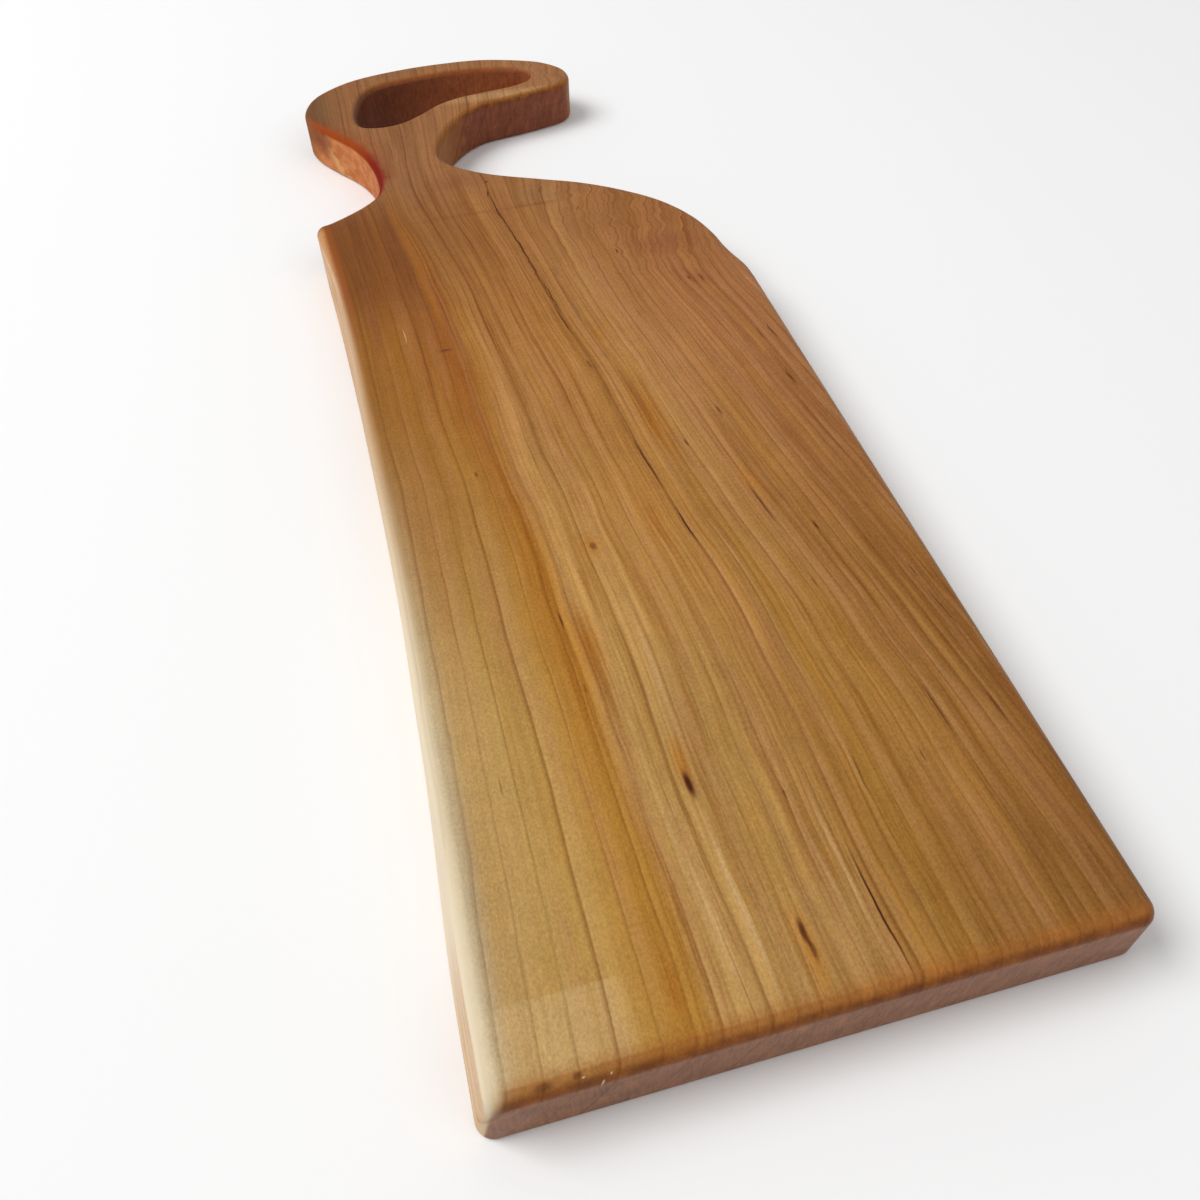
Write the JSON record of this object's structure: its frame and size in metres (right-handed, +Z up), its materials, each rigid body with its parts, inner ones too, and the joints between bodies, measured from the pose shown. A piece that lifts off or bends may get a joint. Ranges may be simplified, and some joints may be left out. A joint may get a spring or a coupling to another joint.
{
  "type": "serving board",
  "caption": "Long wooden serving board cut from one plank, with a live left edge, rounded top edges, a sloping shoulder and a hooked handle with a finger hole.",
  "frame": {"origin": "middle of the underside's bounding box, on the surface that the board lies on", "axes": "+X across the board to the side that the hook opens to, +Y from the straight near end to the handle, +Z up out of the serving face"},
  "size_m": [0.176, 0.5291, 0.022],
  "materials": {
    "cherry": "oiled, satin"
  },
  "bodies": {
    "root": {"board": "cherry"}
  },
  "joints": []
}
